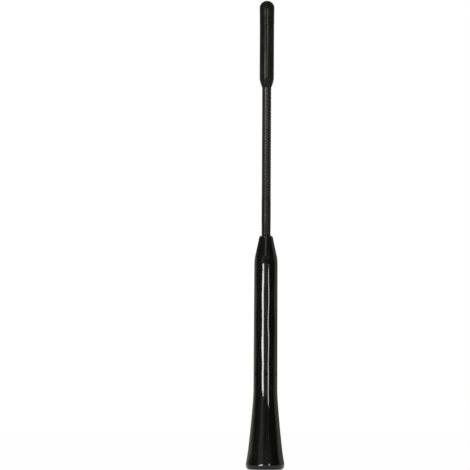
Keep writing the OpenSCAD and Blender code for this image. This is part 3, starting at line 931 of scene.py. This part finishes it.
class AERIAL_OT_core(bpy.types.Operator):
    """Winds the wire, and gives the rod, the ferrule and the solder their materials"""

    bl_idname = "aerial.core"
    bl_label = "Wound Core"

    def execute(self, context):
        s, finish = context.scene.aerial_mast, context.scene.aerial_finishes
        values = {
            "Coil Radius": coil_radius(s),
            "Wire Radius": s.wire_d / 2,
            "Wire Sides": WIRE_SIDES,
            "Material": metal_material("Enamelled Copper", finish.copper),
        }
        wire = grow("wire_wound", line_mesh("wire_line", wire_rows(s)), wound_wire_tree(), values)
        fit(wire, "winding")
        dress("core_rod", fibre_material(finish))
        dress("crimp_ferrule", metal_material("Tinned Tube", finish.tin))
        dress("solder_joint", metal_material("Dull Solder", finish.solder))
        return {"FINISHED"}


class AERIAL_OT_sheath(bpy.types.Operator):
    """Builds the sheath, with a coiled rib over each open turn of the wire"""

    bl_idname = "aerial.sheath"
    bl_label = "Ribbed Sheath"

    def execute(self, context):
        material = sheath_material(context.scene.aerial_finishes)
        rows = sheath_rows(context.scene.aerial_mast)
        rib = {"Root Flat": 0.0, "Crest Flat": 0.0, "Roundness": 1.0, "Power": 1.5}
        sheath = turned("sheath_ribbed", rows, sides=64, material=material, sharp=0.7, **rib)
        fit(sheath, "whip_sleeve")
        return {"FINISHED"}


class AERIAL_OT_tip(bpy.types.Operator):
    """Builds the tip's sleeve and its domed cap"""

    bl_idname = "aerial.tip"
    bl_label = "Tip"

    def execute(self, context):
        s, finish = context.scene.aerial_tip, context.scene.aerial_finishes
        bore_r = SHEATH_TOP.x + FIT_GAP
        satin = tip_material(finish, "Satin Charcoal Sleeve")
        sleeve = turned("tip_sleeve_satin", tip_sleeve_rows(s, bore_r), sides=160, material=satin)
        fit(sleeve, "tip_sleeve")
        satin = tip_material(finish, "Satin Charcoal Cap")
        cap = turned("tip_cap_satin", tip_cap_rows(s, bore_r), sides=160, material=satin)
        fit(cap, "tip_cap")
        return {"FINISHED"}


def area_light(name, radiance, colour, heading, gap, spread, low, high):
    """A light standing upright between two heights. Its bearing from the camera's side and spread are in degrees."""
    data = bpy.data.lights.new(name, "AREA")
    data.shape = "RECTANGLE"
    data.size = 2 * gap * math.tan(math.radians(spread / 2))
    data.size_y = high - low
    data.energy = radiance * math.pi * data.size * data.size_y
    data.color = colour
    light = bpy.data.objects.new(name, data)
    angle = math.radians(heading)
    spot = Matrix.Translation((gap * math.sin(angle), -gap * math.cos(angle), (low + high) / 2))
    light.matrix_world = spot @ Matrix.Rotation(angle, 4, "Z") @ Matrix.Rotation(math.pi / 2, 4, "X")
    light.visible_camera = False
    bpy.context.scene.collection.objects.link(light)


def within(tree, angle, low, high, fade):
    """1 between two angles in degrees, fading softly to 0 outside them. The angle that is tested is in radians."""
    middle, half = math.radians((low + high) / 2), math.radians((high - low) / 2)
    off = calc(tree, "ABSOLUTE", calc(tree, "SUBTRACT", angle, middle))
    values = {0: off, 1: half + math.radians(fade), 2: half, 3: 0.0, 4: 1.0}
    return out_of(tree, "ShaderNodeMapRange", values, interpolation_type="SMOOTHSTEP")


def patch(tree, side, rise, left, right, blur, low, high, fade):
    """1 in a patch of the surroundings, fading softly to 0 outside it."""
    across, up = within(tree, side, left, right, blur), within(tree, rise, low, high, fade)
    return calc(tree, "MULTIPLY", across, up)


# What glossy surfaces show around the mast: each bearing from the camera's side in degrees, and its grey level
SURROUNDINGS = (
    (-172, 0.4),
    (-151, 0.4),
    (-141, 0.54),
    (-119, 0.54),
    (-110, 0.44),
    (-101, 0.18),
    (-90, 0.035),
    (-60, 0.08),
    (-40, 0.12),
    (-22, 0.12),
    (10, 0.08),
    (32, 0.03),
    (86, 0.01),
    (99, 0.34),
    (113, 0.5),
    (126, 0.36),
    (140, 0.25),
    (162, 0.13),
    (174, 0.2),
)
# Beyond this bearing the grey is neutral, and before it a little of its blue is held back
NEUTRAL_FROM = 150
WARM_BLUE = 0.86
# A dimmer patch beside the mast: the share that it takes, and its place as for the cards
DIM_SHARE = 0.82
DIM_PATCH = (-133.0, -107.0, 4.0, 11.0, 24.0, 4.0)
# Pale cards in front: level, left and right bearing and blur, low and high rise and blur, in degrees
CARDS = (
    (0.36, -33.0, -27.0, 17.0, 4.0, 20.0, 2.0),
    (0.11, -10.0, 34.0, 16.0, 15.0, 20.0, 7.0),
    (1.5, -9.0, -2.0, 8.0, 25.0, 33.0, 5.0),
    (0.26, -20.0, 8.0, 8.0, -5.0, 2.0, 3.0),
    (0.32, -22.0, -15.0, 5.0, -5.0, 2.0, 3.0),
    (9.0, -30.0, -26.0, 6.0, -4.0, 0.6, 1.3),
)
CARD_TINT = (1.0, 1.02, 0.84)
WHITE = (1.0, 1.0, 1.0, 1.0)
# Grey of the floor in its own light, and the share of the camera's view of it that is plain white
FLOOR_GREY, FLOOR_WHITE = 0.9, 0.95
WARM, COOL = (1.0, 0.985, 0.94), (1.0, 1.0, 0.96)
# Name, the level's field and the share of it, colour, bearing in degrees, distance, spread in degrees, two heights
LIGHTS = (
    ("strip_left", "left_level", 1.0, WARM, -29.0, 2.5, 18.0, -0.1, 0.07),
    ("strip_left_upper", "left_level", 1.0, WARM, -27.0, 2.5, 14.0, 0.07, 0.12),
    ("strip_left_end", "left_level", 1.0, WARM, -24.5, 2.5, 9.0, 0.12, 0.172),
    ("strip_right", "right_level", 1.0, COOL, 26.0, 0.6, 7.5, 0.015, 0.113),
    ("strip_right_end", "right_level", 0.12, COOL, 26.0, 0.6, 7.5, 0.113, 0.117),
    ("mast_left", "mast_level", 1.0, COOL, -31.0, 0.06, 30.0, 0.158, 0.2),
    ("tip_left", "tip_level", 1.6, COOL, -34.0, 0.12, 9.0, 0.197, 0.217),
    ("tip_left_upper", "tip_level", 0.045, COOL, -38.0, 0.12, 24.0, 0.217, 0.238),
    ("tip_low", "tip_level", 0.4, COOL, -4.0, 0.12, 48.0, 0.195, 0.215),
    ("tip_front", "tip_level", 1.0, COOL, 13.0, 0.12, 15.0, 0.217, 0.229),
    ("tip_front_upper", "tip_level", 1.0, COOL, 8.0, 0.12, 12.0, 0.229, 0.238),
)


def pale_world(settings):
    """White behind the aerial, dim in front of it for its reflections, and an even soft light on its surfaces."""
    world = bpy.data.worlds.new("Pale Studio")
    bpy.context.scene.world = world
    world.use_nodes = True
    tree = world.node_tree
    tree.nodes.clear()
    toward = put(tree, "ShaderNodeTexCoord").outputs["Generated"]
    way = put(tree, "ShaderNodeSeparateXYZ", {0: toward}).outputs
    side = calc(tree, "ARCTAN2", way[0], calc(tree, "MULTIPLY", way[1], -1.0))
    rise = calc(tree, "ARCSINE", way[2])
    ramp = put(tree, "ShaderNodeValToRGB", {0: calc(tree, "MULTIPLY_ADD", side, 1 / TURN, 0.5)})
    stops = ramp.color_ramp
    for heading, grey in SURROUNDINGS:
        stop = stops.elements.new(heading / 360 + 0.5)
        stop.color = (grey, grey, grey * (1.0 if abs(heading) > NEUTRAL_FROM else WARM_BLUE), 1.0)
    stops.elements[0].color = stops.elements[-1].color = WHITE
    kept = calc(tree, "MULTIPLY_ADD", patch(tree, side, rise, *DIM_PATCH), -DIM_SHARE, 1.0)
    around = out_of(tree, "ShaderNodeVectorMath", {0: ramp.outputs[0], 1: kept}, operation="MULTIPLY")
    cards = 0.0
    for strength, *place in CARDS:
        cards = calc(tree, "ADD", calc(tree, "MULTIPLY", patch(tree, side, rise, *place), strength), cards)
    tinted = out_of(tree, "ShaderNodeVectorMath", {0: cards, 1: CARD_TINT}, operation="MULTIPLY")
    shown = out_of(tree, "ShaderNodeVectorMath", {0: around, 1: tinted}, operation="ADD")
    path = put(tree, "ShaderNodeLightPath").outputs
    mirror = calc(tree, "MAXIMUM", path["Is Glossy Ray"], path["Is Transmission Ray"])
    soft = (settings.soft_level,) * 3 + (1.0,)
    lit = put(tree, "ShaderNodeMix", {0: mirror, 6: soft, 7: shown}, data_type="RGBA").outputs[2]
    tones = {0: path["Is Camera Ray"], 6: lit, 7: WHITE}
    seen = put(tree, "ShaderNodeMix", tones, data_type="RGBA").outputs[2]
    glow = out_of(tree, "ShaderNodeBackground", {"Color": seen, "Strength": 1.0})
    put(tree, "ShaderNodeOutputWorld", {0: glow})


def pale_floor(settings):
    """A round floor that is white to the camera and keeps a faint shadow."""
    steps = 96
    rings = [0.02, 0.1, 0.4, settings.floor_r]
    spokes = [(math.cos(TURN * i / steps), math.sin(TURN * i / steps)) for i in range(steps)]
    points = [(0.0, 0.0, 0.0), *((r * x, r * y, 0.0) for r in rings for x, y in spokes)]
    faces = [(0, 1 + i, 1 + (i + 1) % steps) for i in range(steps)]
    for k in range(len(rings) - 1):
        low, high = 1 + k * steps, 1 + (k + 1) * steps
        faces += [(low + i, high + i, high + (i + 1) % steps, low + (i + 1) % steps) for i in range(steps)]
    mesh = bpy.data.meshes.new("floor")
    mesh.from_pydata(points, [], faces)
    look = {"Roughness": 0.9, "Specular_IOR_Level": 0.0}
    material, tree, shader = new_material("Pale Floor", (FLOOR_GREY,) * 3, **look)
    white = out_of(tree, "ShaderNodeEmission", {"Color": WHITE, "Strength": 1.0})
    path = put(tree, "ShaderNodeLightPath").outputs
    amount = calc(tree, "MULTIPLY", path["Is Camera Ray"], FLOOR_WHITE)
    mix = out_of(tree, "ShaderNodeMixShader", {0: amount, 1: shader.outputs[0], 2: white})
    tree.links.new(mix, tree.nodes["Material Output"].inputs["Surface"])
    mesh.materials.append(material)
    floor = bpy.data.objects.new("floor", mesh)
    bpy.context.scene.collection.objects.link(floor)


class AERIAL_OT_stage(bpy.types.Operator):
    """Sets up the floor, the lights, the background and the camera"""

    bl_idname = "aerial.stage"
    bl_label = "Studio"

    def execute(self, context):
        s = context.scene.aerial_stage
        pale_floor(s)
        pale_world(s)
        for name, field, share, *place in LIGHTS:
            area_light(name, share * getattr(s, field), *place)
        data = bpy.data.cameras.new("camera")
        data.sensor_fit = "HORIZONTAL"
        data.sensor_width = SENSOR_W
        data.lens = data.sensor_width * s.camera_gap / s.frame_h
        data.clip_end = 20.0
        camera = bpy.data.objects.new("camera", data)
        turn = Matrix.Rotation(math.pi / 2, 4, "X") @ Matrix.Rotation(s.roll, 4, "Z")
        spot = (-s.frame_x, -s.camera_gap, s.frame_h / 2 - s.frame_drop)
        camera.matrix_world = Matrix.Translation(spot) @ turn
        context.scene.collection.objects.link(camera)
        context.scene.camera = camera
        context.scene.view_settings.view_transform = "Standard"
        return {"FINISHED"}


class AERIAL_PT_sidebar(bpy.types.Panel):
    """Lists the aerial's pieces, sizes and finishes"""

    bl_idname = "AERIAL_PT_sidebar"
    bl_label = "Car Mast Aerial"
    bl_space_type = "VIEW_3D"
    bl_region_type = "UI"
    bl_category = "Aerial"

    def draw(self, context):
        for operator in OPERATORS:
            self.layout.operator(operator.bl_idname)
        for name, group in GROUPS.items():
            box = self.layout.box()
            box.label(text=group.__doc__)
            settings = getattr(context.scene, name)
            for field in group.__annotations__:
                box.prop(settings, field)


GROUPS = {
    "aerial_shell": ShellSizes,
    "aerial_marks": MarkSizes,
    "aerial_socket": SocketSizes,
    "aerial_mast": MastSizes,
    "aerial_tip": TipSizes,
    "aerial_finishes": Finishes,
    "aerial_stage": StageSettings,
}
OPERATORS = (AERIAL_OT_shell, AERIAL_OT_socket, AERIAL_OT_core, AERIAL_OT_sheath, AERIAL_OT_tip, AERIAL_OT_stage)


def register():
    """Adds the sizes, the operators and the panel to Blender."""
    for name, group in GROUPS.items():
        bpy.utils.register_class(group)
        setattr(bpy.types.Scene, name, PointerProperty(type=group))
    for item in (*OPERATORS, AERIAL_PT_sidebar):
        bpy.utils.register_class(item)


def unregister():
    """Takes them out again."""
    for item in (AERIAL_PT_sidebar, *reversed(OPERATORS)):
        bpy.utils.unregister_class(item)
    for name, group in reversed(GROUPS.items()):
        delattr(bpy.types.Scene, name)
        bpy.utils.unregister_class(group)


def main():
    """Builds each piece in turn, then the studio."""
    register()
    bpy.ops.aerial.shell()
    bpy.ops.aerial.socket()
    bpy.ops.aerial.core()
    bpy.ops.aerial.sheath()
    bpy.ops.aerial.tip()
    bpy.ops.aerial.stage()


if __name__ == "__main__":
    main()
